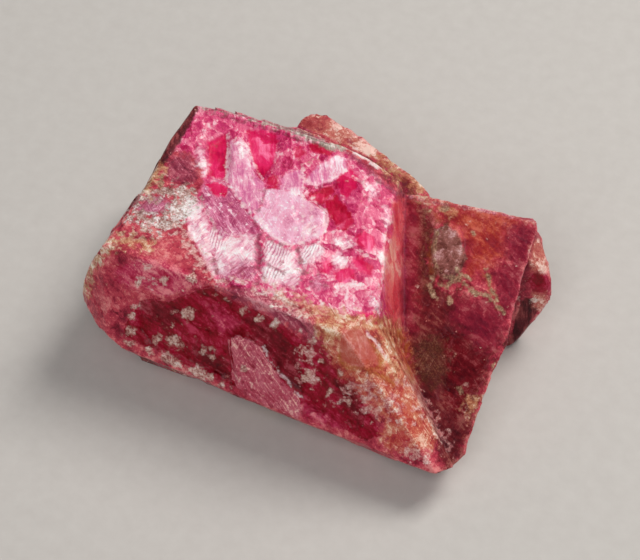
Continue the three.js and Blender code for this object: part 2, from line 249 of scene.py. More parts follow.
def refined(mesh):
    """The CAD mesh divided into small even triangles that share the faces' borders."""
    corners, triangles = merged(mesh)
    faces, normals = flat_faces(corners, triangles)
    borders = [border_of(triangles[rows]) for rows in faces]
    spacings = [spacing_of(normals[rows[0]], corners[triangles[rows[0]][0]]) for rows in faces]
    points, chain = divided(corners, borders, spacings)
    made = []
    random = np.random.default_rng(7)
    for rows, border, spacing in zip(faces, borders, spacings):
        normal = normals[rows[0]]
        across = np.cross(normal, [1, 0, 0] if abs(normal[0]) < 0.9 else [0, 1, 0])
        across /= np.linalg.norm(across)
        basis = np.stack([across, np.cross(normal, across)])
        origin = corners[border[0][0]]
        starts = (corners[[a for a, b in border]] - origin) @ basis.T
        ends = (corners[[b for a, b in border]] - origin) @ basis.T
        inner = scattered(starts, ends, spacing, random)
        runs = [chain[min(a, b), max(a, b)] for a, b in border]
        outer = sorted({i for run in runs for i in run})
        place = {i: n for n, i in enumerate(outer)}
        edges = [(place[i], place[j]) for run in runs for i, j in zip(run, run[1:])]
        flat = (np.array([points[i] for i in outer]) - origin) @ basis.T
        own = np.array(outer + list(range(len(points), len(points) + len(inner))))
        points += [tuple(p) for p in origin + inner @ basis]
        made.append(own[filled(np.concatenate([flat, inner]), edges, starts, ends)])
    return welded(np.array(points), np.concatenate(made))


def evened(values, triangles, share, rounds):
    """The values drawn, round by round, towards their neighbours' mean, by half of each one's share."""
    sides = np.concatenate([triangles[:, [0, 1]], triangles[:, [1, 2]], triangles[:, [2, 0]]])
    count = np.maximum(np.bincount(sides[:, 0], minlength=len(values)), 1)
    for _ in range(rounds):
        total = [np.bincount(sides[:, 0], column[sides[:, 1]], len(values)) for column in values.T]
        values = values + (share / 2)[:, None] * (np.stack(total, axis=1) / count[:, None] - values)
    return values


# What each kind of surface is made of on the image, all in pixels: areas by their outlines, which are plain
# lists of corners, lines by path and width, and spots by centre and radius.
Line = namedtuple("Line", "path width")
Spots = namedtuple("Spots", "places")
ROSE = [
    [(197, 104), (246, 114), (300, 128), (345, 150), (372, 172), (396, 194), (404, 204), (400, 240),
     (396, 300), (388, 318), (360, 318), (300, 305), (232, 288), (217, 286), (200, 252), (188, 234),
     (182, 214), (192, 202), (202, 186), (201, 166), (190, 152), (172, 150)],
]
EMBER = [
    [(440, 203), (475, 206), (520, 216), (524, 228), (508, 240), (506, 258), (492, 268), (470, 278),
     (462, 270), (466, 250), (460, 234), (436, 216)],
    Line([(412, 202), (414, 230), (411, 262), (413, 300)], 3),
]
BERRY = [
    [(506, 226), (534, 224), (540, 234), (522, 292), (508, 322), (500, 330), (484, 330), (470, 312),
     (480, 296), (498, 296), (494, 274), (508, 260)],
    [(404, 204), (416, 202), (420, 230), (417, 300), (416, 334), (405, 334), (403, 300)],
    [(452, 300), (470, 298), (496, 312), (506, 330), (498, 350), (480, 352), (452, 318)],
]
WINE = [
    [(403, 200), (412, 198), (438, 214), (436, 240), (430, 262), (440, 288), (462, 296), (502, 330),
     (506, 334), (484, 388), (480, 402), (476, 428), (466, 444), (462, 458), (447, 474), (424, 420),
     (414, 392), (410, 362), (402, 336), (401, 300)],
]
VALLEY = [
    [(392, 200), (402, 200), (405, 212), (401, 236), (400, 270), (401, 300), (400, 330), (390, 322),
     (385, 300), (384, 276), (386, 250), (392, 232), (393, 214)],
]
GLASS = [
    [(135, 308), (141, 302), (150, 299.6), (163, 299.6), (169.5, 301.3), (189.4, 293), (201, 287.2),
     (213, 287), (229, 299), (262, 313), (280, 322), (303, 341), (318, 344), (335, 352), (352, 378),
     (357, 395), (372, 415), (382, 436), (366, 440), (340, 429), (312, 420), (255, 394), (210, 377),
     (165, 355), (128, 338), (124, 330), (128, 320)],
    [(532, 273), (546, 273), (556, 288), (548, 293), (534, 292), (528, 282)],
]
AMBER = [
    [(314, 318), (340, 314), (398, 320), (406, 336), (411, 366), (420, 396), (434, 424), (436, 444),
     (424, 452), (404, 452), (386, 446), (384, 424), (372, 408), (356, 396), (342, 380), (326, 346),
     (318, 334)],
    Line([(86, 288), (92, 268), (106, 250), (126, 240), (150, 242)], 9),
]
POOL = [
    [(126, 262), (144, 256), (166, 262), (204, 280), (198, 288), (182, 292), (166, 298), (150, 290),
     (134, 288), (118, 282), (116, 270)],
    [(208, 306), (222, 310), (238, 322), (232, 334), (220, 330), (210, 318)],
    [(392, 430), (408, 428), (414, 440), (406, 448), (394, 446)],
    [(296, 404), (312, 406), (328, 416), (340, 428), (320, 424), (300, 414)],
]
# Dark patches; on the lower right block they are painted shade.
DARK_PATCHES_AND_PAINTED_SHADE = [
    [(138, 309), (143, 303), (152, 301), (178, 304), (184, 314), (180, 323), (166, 327), (142, 317)],
    [(242, 314), (256, 316), (272, 326), (284, 340), (298, 352), (304, 372), (302, 392), (294, 392),
     (280, 374), (258, 338), (246, 326)],
    [(192, 344), (206, 348), (226, 360), (232, 378), (214, 374), (196, 360)],
    [(330, 380), (350, 382), (362, 398), (368, 418), (358, 424), (344, 408), (334, 394)],
    [(444, 332), (468, 340), (484, 362), (474, 396), (470, 420), (452, 414), (444, 384), (438, 352)],
]
SHADE = [
    [(195, 101), (186, 106), (148, 158), (112, 206), (100, 222), (107, 231), (140, 196), (155, 179),
     (167, 161), (180, 142), (192, 122), (199, 107)],
    [(532, 298), (538, 308), (528, 330), (512, 346), (502, 350), (520, 300)],
]
OLIVE = [
    Line([(446, 224), (437, 229), (431, 243), (430, 258), (434, 272), (443, 282), (454, 281)], 5),
    [(418, 338), (432, 334), (446, 342), (450, 360), (444, 384), (432, 390), (420, 378), (414, 358)],
    Line([(424, 202), (426, 230), (423, 260), (425, 290)], 3),
    Line([(380, 164), (412, 188), (426, 198)], 9),
]
DUSK = [
    [(164, 172), (166, 160), (176, 154), (188, 156), (197, 163), (199, 173), (194, 181), (183, 185),
     (171, 182)],
    [(216, 288), (232, 286), (256, 288), (276, 296), (288, 310), (304, 318), (318, 330), (314, 342),
     (282, 322), (262, 311), (240, 302)],
    [(140, 196), (152, 194), (160, 204), (156, 216), (144, 216), (136, 208)],
]
STREAKED = [
    [(203, 184), (216, 180), (229, 184), (246, 208), (252, 220), (262, 231), (258, 237), (244, 235),
     (230, 237), (219, 241), (208, 218), (202, 202)],
]
MAUVE = [
    [(136, 206), (147, 198), (160, 195), (172, 202), (164, 214), (150, 214), (138, 210)],
    [(218, 272), (230, 266), (257, 260), (258, 272), (256, 282), (224, 280)],
    [(312, 278), (320, 276), (324, 286), (318, 292), (311, 287)],
    [(282, 298), (292, 298), (300, 306), (294, 312), (284, 308)],
]
WINDOWS = [
    [(208, 143), (228, 133), (229, 148), (226, 162), (226, 178), (217, 178), (208, 176), (207, 159)],
    [(246, 131), (262, 130), (276, 134), (279, 146), (276, 160), (262, 182), (256, 174), (248, 144)],
    [(357, 233), (365, 232), (373, 237), (376, 245), (371, 252), (362, 248), (356, 241)],
    [(334, 273), (345, 266), (354, 269), (355, 279), (345, 284), (334, 280)],
    [(352, 258), (362, 258), (373, 266), (370, 275), (360, 273), (354, 266)],
    [(358, 313), (372, 310), (377, 318), (366, 322)],
    [(322, 262), (330, 258), (334, 268), (328, 274), (321, 272)],
    [(336, 176), (350, 168), (358, 176), (356, 190), (346, 198), (338, 190)],
    [(206, 184), (218, 182), (228, 188), (226, 197), (214, 196)],
]
GARNET = [
    [(307, 195), (333, 184), (335, 191), (327, 198), (323, 207)],
    [(324, 202), (337, 195), (351, 213), (353, 222), (347, 230), (338, 229), (327, 212)],
    [(268, 177), (274, 174), (279, 183), (275, 189), (268, 187)],
    [(294, 150), (300, 147), (306, 152), (300, 158), (295, 156)],
    [(308, 143), (322, 143), (334, 150), (330, 157), (309, 151)],
]
# Pale veils; their white is partly painted sheen, where the light catches the top face.
VEIL_AND_SHEEN = [
    [(228, 132), (233, 143), (241, 138), (246, 141), (253, 165), (257, 176), (264, 183), (266, 189),
     (262, 203), (257, 213), (249, 213), (233, 191), (227, 182), (228, 150)],
    [(304, 184), (312, 172), (336, 154), (346, 158), (347, 170), (336, 180), (318, 187)],
    [(280, 178), (290, 170), (304, 172), (304, 198), (290, 192), (280, 190)],
]
# A pale lilac patch; its white is partly painted sheen.
LILAC_AND_SHEEN = [
    [(262, 205), (266, 190), (278, 189), (292, 191), (316, 205), (327, 212), (327, 228), (322, 236),
     (303, 243), (290, 246), (281, 244), (264, 231), (256, 222), (250, 218), (256, 214)],
]
# Pale plates; their white is partly painted sheen.
PLATES_AND_SHEEN = [
    [(219, 244), (245, 233), (256, 236), (257, 250), (256, 262), (243, 265), (220, 274), (214, 264),
     (213, 252)],
    [(266, 240), (288, 248), (296, 252), (297, 262), (301, 270), (299, 281), (294, 288), (280, 284),
     (268, 284), (260, 280), (264, 262)],
    [(300, 248), (320, 241), (325, 252), (320, 258), (310, 262), (303, 267), (299, 257)],
    [(186, 200), (196, 196), (202, 204), (212, 232), (218, 244), (213, 254), (217, 274), (212, 276),
     (198, 246), (190, 234), (187, 220), (182, 210)],
    [(333, 255), (338, 250), (345, 256), (346, 264), (338, 268), (332, 263)],
    [(385, 207), (389, 212), (390, 222), (387, 229), (384, 226), (383, 216)],
    [(378, 250), (383, 251), (384, 258), (380, 261), (377, 256)],
    [(370, 296), (376, 295), (379, 301), (375, 308), (370, 305)],
    [(306, 226), (314, 222), (320, 228), (317, 237), (309, 238)],
    [(334, 240), (346, 238), (354, 246), (346, 250), (336, 247)],
    [(366, 183), (376, 184), (378, 198), (370, 200)],
    [(236, 141), (243, 140), (248, 152), (243, 158), (237, 151)],
    [(196, 148), (204, 150), (208, 166), (204, 174), (198, 164)],
]
HATCH = [
    [(263, 240), (276, 243), (288, 249), (292, 258), (284, 268), (268, 264), (262, 256)],
    [(299, 249), (318, 243), (323, 250), (310, 260), (301, 258)],
    [(262, 268), (276, 268), (284, 276), (272, 281), (260, 278)],
    [(210, 232), (220, 232), (224, 244), (216, 256), (211, 244)],
]
TONGUE = [
    [(229, 339), (236, 336), (245, 336.5), (260, 345), (266, 357.5), (276, 370), (284, 383), (300, 399),
     (303, 412), (298, 420), (280, 411), (262, 404), (245, 395), (236, 386), (231.5, 376), (232.5, 362)],
]
CRUST = [
    [(138, 204), (143, 192), (152, 186), (166, 184), (194, 188), (198, 196), (186, 202), (172, 200),
     (160, 195)],
    [(126, 218), (136, 210), (150, 215), (165, 214), (172, 202), (198, 198), (188, 220), (180, 228),
     (166, 232), (138, 224)],
    Line([(86, 284), (92, 266), (106, 248), (126, 238), (150, 238)], 5),
]
CREAM = [
    [(320, 322), (332, 320), (340, 328), (338, 340), (326, 342), (318, 334)],
    [(372, 320), (388, 322), (400, 330), (400, 348), (390, 356), (382, 346), (378, 334), (368, 328)],
    [(388, 356), (400, 356), (406, 372), (404, 386), (394, 378), (388, 366)],
    [(396, 396), (410, 394), (420, 410), (422, 426), (412, 428), (402, 414)],
    Line([(282, 298), (328, 314), (356, 322), (384, 322)], 8),
    Line([(84, 290), (86, 272), (98, 254), (112, 242), (128, 240), (148, 246)], 7),
    Line([(146, 190), (154, 176), (160, 166)], 8),
    Line([(384, 162), (414, 184), (428, 198)], 12),
    [(466, 402), (472, 397), (480, 396), (479, 408), (473, 414), (466, 410)],
    [(443, 205), (456, 207), (454, 213), (446, 212)],
]
GOLD = [
    Line([(398, 332), (405, 344), (411, 382)], 5),
    Line([(341, 362), (350, 368), (366, 370), (381, 367), (379, 356), (367, 338)], 4),
    Line([(342, 346), (340, 358)], 3),
    Line([(433, 244), (431, 258), (434, 270)], 5),
    Line([(487, 274), (491, 290), (500, 308)], 2.5),
    Line([(370, 372), (382, 376), (394, 386)], 4),
]
ORANGE = [
    [(342, 330), (362, 329), (372, 348), (377, 357), (378, 364), (363, 366), (350, 365), (342, 360),
     (340, 346)],
]
SALMON = [
    [(390, 392), (402, 388), (412, 398), (420, 412), (421, 428), (414, 442), (404, 450), (390, 447),
     (384, 436), (388, 406)],
]
# Whitish crumbs. The line from (180, 228) to (212, 280), down the plates' left border, stands for white
# glints: painted highlight.
CHALK_AND_GLINTS = [
    Spots([(352, 386, 2), (360, 394, 3.5), (368, 386, 2.5), (371, 399, 4.5), (381, 391, 3.5), (386, 403, 4.5),
           (377, 410, 3), (364, 406, 2), (394, 396, 3), (396, 410, 3.5), (350, 400, 1.5), (344, 392, 1.5),
           (334, 398, 1.5), (402, 420, 2.5), (388, 418, 2)]),
    Line([(404, 378), (424, 404), (432, 420)], 3),
    Line([(420, 408), (432, 420), (441, 432), (448, 446)], 2.5),
    Line([(264, 288), (280, 298), (292, 308), (302, 312)], 9),
    Line([(216, 280), (240, 283), (262, 288)], 3),
    Line([(180, 228), (192, 248), (204, 268), (212, 280)], 6),
    [(300, 348), (310, 346), (314, 356), (308, 362), (300, 358)],
    [(302, 368), (312, 370), (314, 380), (304, 382)],
    [(392, 398), (404, 404), (402, 412), (394, 408)],
    [(404, 448), (420, 450), (426, 460), (412, 458)],
]
# Pale lines along rims and borders on the top face, partly painted glints.
RIMS_AND_GLINTS = [
    Line([(292, 206), (297, 222), (295, 238)], 1.5),
    Line([(312, 199), (311, 218), (307, 236)], 2),
    Line([(228, 133), (229, 150), (227, 166), (227, 182), (246, 208)], 1.6),
    Line([(245, 140), (257, 174), (262, 182)], 1.3),
    Line([(303, 164), (303, 214), (304, 238)], 1.6),
    Line([(324.5, 212), (325.5, 222), (324.5, 233)], 3),
    Line([(292, 191), (316, 205), (326, 211)], 1.6),
    Line([(256, 216), (276, 238), (288, 245), (300, 243)], 2.6),
    Line([(300, 176), (314, 186), (330, 180), (346, 170)], 1.4),
    Line([(204, 204), (212, 220), (220, 240)], 1.6),
    Line([(194, 208), (208, 246), (214, 262)], 2.4),
    Line([(338, 246), (352, 248), (380, 262)], 1.4),
    Line([(302, 284), (312, 292), (322, 304)], 1.2),
    Line([(336, 286), (352, 284), (372, 286)], 1.2),
    Line([(352, 176), (364, 186), (372, 200)], 1.2),
    Line([(262, 345), (270, 360), (282, 376), (300, 396)], 1),
    Line([(366, 331), (380, 349), (386, 356)], 1.4),
    Line([(350, 148), (366, 158), (378, 168)], 5),
]
BLUSH = [
    [(300, 134), (298, 126), (303, 118), (311, 114), (322, 115), (338, 123), (376, 148), (386, 156),
     (392, 166), (382, 168), (340, 145), (320, 137)],
    [(530, 246), (538, 240), (546, 250), (549, 270), (544, 274), (530, 272)],
    Line([(440, 202), (470, 207), (506, 214), (533, 222)], 3.5),
    [(532, 293), (546, 293), (548, 303), (540, 310), (533, 307)],
]
GRAIN = [
    [(437, 228), (445, 225), (455, 231), (463, 244), (466, 258), (463, 270), (455, 278), (446, 281),
     (437, 278), (431, 268), (430.5, 252), (433, 238)],
]
SPECKS = [
    Spots([(147, 268, 2.4), (139, 281, 4.2), (153, 284, 3), (165, 280, 3.2), (192, 279, 5), (188, 314, 6),
           (131, 331, 4), (172, 341, 6), (178, 345, 4.4), (155, 341, 2.6), (160, 338, 2.4), (150, 350, 3),
           (203, 351, 3.2), (212, 347, 2), (212, 357, 2), (126, 342, 2.6), (122, 336, 2), (243, 311, 3.4),
           (259, 318, 3.6), (275, 324, 3.4), (303, 350, 3), (306, 376, 3.4), (243, 370, 3), (175, 322, 1.4),
           (183, 324, 1.4), (174, 312, 1.2), (321, 360, 2.2), (312, 340, 2), (330, 391, 2.6), (350, 402, 2.4),
           (340, 372, 1.8), (466, 386, 2), (534, 300.5, 2.6), (418, 286, 1.2), (210, 379, 3.6), (130, 343, 3),
           (222, 384, 2), (300, 330, 2.4), (198, 388, 2), (231, 389, 2), (136, 308, 3), (132, 316, 2.4),
           (216, 296, 2), (226, 299, 1.6)]),
    [(159, 353), (168, 353), (180, 361), (181, 368), (172, 366), (160, 359)],
    [(186, 366), (198, 367), (212, 377), (210, 383), (197, 378), (187, 372)],
]
VEINS = [
    Line([(438, 234), (433, 250), (436, 266), (444, 276), (452, 276)], 1.6),
    Line([(162, 178), (160, 186)], 5),
    Line([(456, 268), (459, 276), (466, 284), (470, 291), (487, 295), (504, 312)], 3.4),
    Line([(433, 278), (438, 284), (446, 287), (459, 276)], 4.4),
    Line([(464, 276), (470, 280)], 3),
    Line([(430, 286), (433, 295), (437, 299)], 2.8),
    Line([(449, 297), (450, 303)], 3.6),
    Line([(486, 270), (490, 286), (499, 304)], 1.8),
    Spots([(461, 390, 3), (492, 365, 2.5), (446, 208, 3), (474, 232, 2)]),
]
# Dark lines: cracks and striations, and painted shade in the grooves where the crystals meet and down the
# valley.
CRACKS_AND_CREASE_SHADE = [
    Line([(259, 236), (258, 246), (260, 256), (258, 266), (260, 274), (257, 284)], 4.5),
    Line([(214, 256), (215, 264), (217, 274)], 1.4),
    Line([(203, 202), (210, 216), (216, 228)], 1.6),
    Line([(265, 188), (262, 203), (258, 213)], 1.3),
    Line([(250, 216), (263, 233), (272, 240), (284, 246)], 1.6),
    Line([(298, 248), (303, 270), (302, 284)], 2.2),
    Line([(264, 262), (278, 269), (290, 276)], 1.3),
    Line([(276, 276), (280, 268), (283, 260)], 1.2),
    Line([(416, 198.5), (440, 204), (472, 208), (533, 221)], 1.4),
    Line([(207, 107), (254, 117), (300, 131), (322, 140)], 1.8),
    Line([(215, 114), (246, 122), (310, 143)], 1.2),
    Line([(347, 153), (364, 164), (378, 180), (394, 192), (412, 197)], 3.4),
    Line([(350, 140), (352, 148), (346, 152)], 1.4),
    Line([(404, 204), (405, 236), (404, 300), (405, 330)], 1.8),
]
SILVER = [
    Line([(264, 122), (282, 126), (312, 138), (342, 151)], 6),
    Line([(206, 109), (236, 114), (262, 121)], 1.6),
]

# Places on the image that are lighter or darker than their kind: x, y, radius in pixels and how much. They
# are partly the crystal's own tone and partly painted light: painted highlights, glints and sheen, and
# painted shade.
TONES_AND_PAINTED_LIGHT = [
    (265, 150, 14, 0.25), (262, 176, 10, -0.3), (216, 148, 10, -0.2), (218, 172, 8, 0.2), (290, 262, 8, 0.4),
    (232, 246, 12, 0.2), (290, 200, 14, 0.1), (270, 228, 10, 0.3), (310, 214, 8, -0.15), (286, 226, 7, -0.15),
    (340, 300, 26, 0.2), (350, 220, 10, -0.1), (192, 240, 8, 0.2), (300, 160, 14, -0.15),
    (208, 122, 12, 0.15), (220, 128, 10, -0.1), (393, 265, 20, 0.3), (396, 300, 14, -0.2),
    (100, 300, 20, 0.15), (120, 325, 20, -0.2), (165, 250, 22, 0.25), (145, 285, 24, 0.25),
    (340, 206, 14, 0.15), (265, 305, 18, 0.3), (180, 312, 12, -0.1), (365, 150, 9, 0.6), (308, 124, 9, -0.15),
    (324, 128, 8, 0.1), (480, 215, 14, 0.2), (470, 250, 12, -0.1), (540, 258, 10, 0.15), (539, 301, 6, 0.4),
    (446, 236, 8, 0.3), (450, 264, 8, -0.2), (490, 330, 14, 0.2), (456, 380, 20, -0.25), (455, 460, 16, 0.1),
    (222, 318, 14, -0.1), (330, 360, 14, 0.1), (240, 300, 12, -0.1), (420, 232, 14, 0.2),
    (458, 330, 18, -0.25), (495, 328, 14, -0.42), (452, 446, 14, -0.15), (327, 128, 8, -0.1),
    (241, 168, 14, -0.08), (302, 226, 9, 0.2), (420, 200, 12, 0.1), (500, 216, 16, 0.3), (238, 298, 7, 0.15),
    (254, 304, 7, 0.15), (270, 310, 7, 0.15), (286, 316, 7, 0.15), (300, 324, 7, 0.15), (186, 208, 11, 0.25),
    (160, 182, 8, -0.2), (404, 181, 14, -0.3), (370, 340, 7, -0.1), (318, 298, 12, 0.12),
    (163, 158, 9, -0.25), (183, 170, 9, -0.1), (162, 210, 12, 0.1), (238, 273, 9, 0.1),
]

# Where the faces swell or sink from flat: x, y, radius and how far to the right and up, all in pixels.
SWELLS = [
    (172, 142, 30, -4.3, 2.5), (196, 108, 22, -2, 2.5), (238, 112, 25, 0, 1.5), (316, 114, 20, 1, 4.5),
    (352, 130, 26, 2.3, 3.3), (388, 155, 26, 2.3, 3.3), (422, 187, 24, 3.4, 5), (465, 203, 26, 0.3, 2.5),
    (505, 211, 26, 0.3, 2.5), (533, 222, 14, 1, 1.5), (545, 247, 16, -3, -0.6), (550, 305, 12, -2.5, 3.5),
    (512, 341, 20, 3.5, -4.5), (458, 464, 18, 2, -5), (425, 470, 24, 0, -4.5), (385, 456, 27, -1.5, -4.5),
    (345, 441, 27, -1.3, -4), (305, 424, 27, -1, -3), (268, 409, 25, -0.6, -1.5), (124, 350, 24, 1.5, 5),
    (160, 364, 27, 1, 3), (196, 379, 27, 0.7, 2), (90, 265, 22, -4.5, 2), (84, 309, 14, 3, 0.5),
    (108, 236, 22, -2, 1),
]

# A kind of surface. Its colours, from dark to light, are spread by one of patterns(). rough is its roughness.
# scratches and net are how strongly scratches and the rims of its broken pieces lighten it, pale lines that
# are partly painted glints, and tilt is how steeply those pieces lie. ragged and soft, in mm, are how far its
# own border wanders and how far it fades to
# each side, and cover is how much it hides what is under it. relief and grain, in mm, are how high and how
# large its bumps are, and a negative relief sinks it too. wild is how readily it shows where the camera
# doesn't see, or None. Later kinds lie over earlier ones.
Kind = namedtuple(
    "Kind", "shapes pattern colours rough scratches tilt ragged soft cover relief grain wild net",
    defaults=(None, 0),
)
EVERYWHERE = [[(0, 0), (WIDTH, 0), (WIDTH, HEIGHT), (0, HEIGHT)]]
KINDS = {name: Kind(*row) for name, *row in [
    ("skin", EVERYWHERE, "cloud", "701024 a42840 c84858 e48888",
     0.35, 0.25, 0.05, 0.1, 0.1, 1, 0.025, 0.5, 1),
    ("rose", ROSE, "facets", "a80c48 d43c74 ec7c9c ffd8e0", 0.25, 0.3, 0.14, 0.3, 0.2, 1, 0.01, 0.5, 0, 0.3),
    ("wine", WINE, "smears", "34060e 521016 6c1c22 905048", 0.3, 0.25, 0.05, 0.6, 0.5, 0.95, 0.02, 0.5, 0.05),
    ("ember", EMBER, "smears", "701420 901c1e a83420 cc6444",
     0.3, 0.2, 0.03, 0.9, 0.9, 0.8, 0.02, 0.8, -0.05),
    ("berry", BERRY, "smears", "600c24 7c142c 942438 b45860", 0.3, 0.2, 0.03, 0.8, 0.6, 1, 0.02, 0.8, 0),
    ("valley", VALLEY, "calm", "c02c3c e44c58 f47474 ffb8a8", 0.25, 0.1, 0.02, 0.4, 0.45, 1, 0.015, 0.8),
    ("glass", GLASS, "smears", "500006 78000c 9c0428 c03858",
     0.15, 0.15, 0.04, 0.15, 0.06, 1, 0.015, 0.5, 0.1),
    ("amber", AMBER, "cloud", "902430 bc4840 d47c60 f8d4bc",
     0.35, 0.5, 0.08, 0.6, 0.4, 0.9, 0.02, 0.4, -0.45),
    ("pool", POOL, "smears", "880424 a81038 c83860 f09098", 0.2, 0.03, 0.03, 0.5, 0.3, 0.85, 0.01, 0.5, 0),
    ("murk", DARK_PATCHES_AND_PAINTED_SHADE, "smears", "3c0008 58040f 74101c a04850", 0.2, 0.12, 0.03, 0.8, 0.4, 0.8, 0.01, 0.5, -0.2),
    ("shade", SHADE, "streak", "24060a 400c12 641c24 984848", 0.35, 0.1, 0, 0.15, 0.12, 1, 0.01, 0.5),
    ("olive", OLIVE, "grit", "28140c 44281a 604028 987858", 0.4, 0.4, 0.03, 0.8, 0.5, 0.6, 0.02, 0.4),
    ("dusk", DUSK, "slanted", "54142c 842c44 ac4c64 dc98a4", 0.3, 0.3, 0.08, 0.5, 0.3, 0.8, 0.02, 0.3),
    ("streaked", STREAKED, "slanted", "98305c c05880 dc8cac ffe4ec",
     0.22, 0.5, 0.08, 0.3, 0.25, 0.95, 0.02, 0.4),
    ("window", WINDOWS, "calm", "b00040 d0104c e42868 f87ca8", 0.14, 0.1, 0.04, 0.2, 0.12, 1, 0.005, 0.9),
    ("garnet", GARNET, "calm", "980020 b80430 d02050 ec7098", 0.12, 0.1, 0.05, 0.2, 0.12, 0.95, 0.005, 0.9),
    ("veil", VEIL_AND_SHEEN, "streak", "cc5c90 e080ac f0b0c8 fff0f8",
     0.18, 0.3, 0.08, 0.2, 0.12, 0.9, 0.01, 0.5, None, 0.1),
    ("lilac", LILAC_AND_SHEEN, "milky", "cc7098 eca4c0 f4c4dc ffffff",
     0.15, 0.5, 0.08, 0.1, 0.1, 0.95, 0.01, 0.5, None, 0.1),
    ("plate", PLATES_AND_SHEEN, "combed", "cc7494 ecaac0 f8dce4 ffffff",
     0.16, 0.4, 0.12, 0.35, 0.3, 0.95, 0.02, 0.35, None, 0.3),
    ("mauve", MAUVE, "combed", "84304c ac5470 d080a0 f8c8d8", 0.25, 0.4, 0.1, 0.5, 0.3, 0.85, 0.02, 0.35),
    ("hatch", HATCH, "hatch", "a04870 e0a0b8 fce8f0 ffffff", 0.25, 0, 0.14, 0.5, 0.3, 0.45, 0.01, 0.5),
    ("tongue", TONGUE, "slanted", "882030 b8445a d06c7e fcc8bc", 0.35, 0.5, 0.06, 0.15, 0.06, 1, 0.02, 0.3),
    ("crust", CRUST, "crumbs", "402420 947468 c4b0a8 ffffff", 0.6, 0, 0.12, 1, 0.3, 0.85, 0.06, 0.25, -0.8),
    ("blush", BLUSH, "cloud", "942c34 b85050 cc7868 fcd8cc", 0.4, 0.3, 0.05, 0.2, 0.2, 1, 0.03, 0.4),
    ("cream", CREAM, "cloud", "8c3424 c07c58 dcac84 fcf0dc", 0.45, 0.3, 0.05, 1, 0.5, 0.8, 0.03, 0.3, -0.9),
    ("gold", GOLD, "smears", "6c2008 98401a b06428 d8a468", 0.4, 0, 0.03, 0.3, 0.25, 0.85, 0.01, 0.3, -0.9),
    ("orange", ORANGE, "calm", "a43424 b84c3c c4665c d89494", 0.25, 0.1, 0.03, 0.15, 0.15, 0.8, 0.01, 0.6),
    ("salmon", SALMON, "cloud", "a42834 c4443c d07058 f4c8ac", 0.3, 0.3, 0.06, 0.9, 0.5, 0.8, 0.02, 0.5),
    ("grain", GRAIN, "cloud", "4c2820 785044 986c64 d0b0b0", 0.25, 0.1, 0.04, 0.2, 0.15, 0.85, 0.02, 0.4),
    ("chalk", CHALK_AND_GLINTS, "crumbs", "984450 cc8484 e8bcb4 fff4ee",
     0.4, 0.2, 0.1, 1.2, 0.3, 0.65, 0.03, 0.25, -0.9),
    ("speck", SPECKS, "crumbs", "743028 b8847c e8ccbc fffaf4", 0.5, 0, 0.08, 0.35, 0.14, 0.75, 0.05, 0.2),
    ("vein", VEINS, "crumbs", "5c3c28 94745c bc9c7c e4d4b8", 0.45, 0, 0.05, 0.25, 0.12, 0.9, 0.04, 0.3),
    ("rim", RIMS_AND_GLINTS, "combed", "e89cb4 f8d4d8 ffeeee ffffff", 0.2, 0, 0.05, 0.25, 0.1, 0.65, 0.02, 0.3),
    ("silver", SILVER, "streak", "584c40 888478 b4b8a8 e8ece0", 0.4, 0, 0.05, 0.4, 0.2, 0.85, 0.03, 0.3),
    ("crack", CRACKS_AND_CREASE_SHADE, "grit", "540824 80183c a83c5c d88098", 0.35, 0, 0.1, 0.3, 0.15, 0.75, -0.02, 0.5),
]}


def distance_inside(shape, pixels):
    """How far inside a shape each pixel lies, in pixels. It is negative outside."""
    if isinstance(shape, Spots):
        places = np.array(shape.places)
        away = np.linalg.norm(pixels[:, None] - places[None, :, :2], axis=2)
        return (places[:, 2] - away).max(axis=1)
    if isinstance(shape, Line):
        path = np.array(shape.path)
        nearest, _ = nearest_and_inside(pixels, path[:-1], path[1:])
        return shape.width / 2 - nearest
    outline = np.array(shape)
    nearest, inside = nearest_and_inside(pixels, outline, np.roll(outline, -1, axis=0))
    return np.where(inside, nearest, -nearest)


def cloud(points, size, seed, octaves=3):
    """Smooth noise of about -1 to 1 at each point, with features of a size in mm."""
    shift = Vector((seed * 17.3, seed * 5.1, seed * 9.7))
    return np.array([noise.fractal(Vector(p) / size + shift, 1, 2, octaves) for p in points])


def grounded(points):
    """From 0 at the foot to 1 above it."""
    return np.clip(points[:, 2] * MM / FOOT, 0, 1)


def near(pixels, x, y, radius):
    """From 1 at a place on the image to 0 well outside its radius."""
    return np.exp(-((pixels[:, 0] - x) ** 2 + (pixels[:, 1] - y) ** 2) / radius ** 2)


def swollen(points):
    """The points moved a little where the faces aren't quite flat, and not at the foot."""
    pixels = image_pixels(points * MM)
    moved = np.zeros_like(points)
    for x, y, radius, right, up in SWELLS:
        share = near(pixels, x, y, radius)
        moved += share[:, None] * np.array(right * RIGHT + up * UP) / PIXELS_PER_MM
    return points + moved * grounded(points)[:, None]


def painted_light_and_tone(points, seen):
    """How much lighter or darker than its kind each point is: partly its own tone, partly painted highlights,
    sheen and shade.
    """
    pixels = image_pixels(points * MM)
    tone_and_painted_light = np.zeros(len(points))
    for x, y, radius, amount in TONES_AND_PAINTED_LIGHT:
        tone_and_painted_light += amount * near(pixels, x, y, radius)
    return seen * tone_and_painted_light


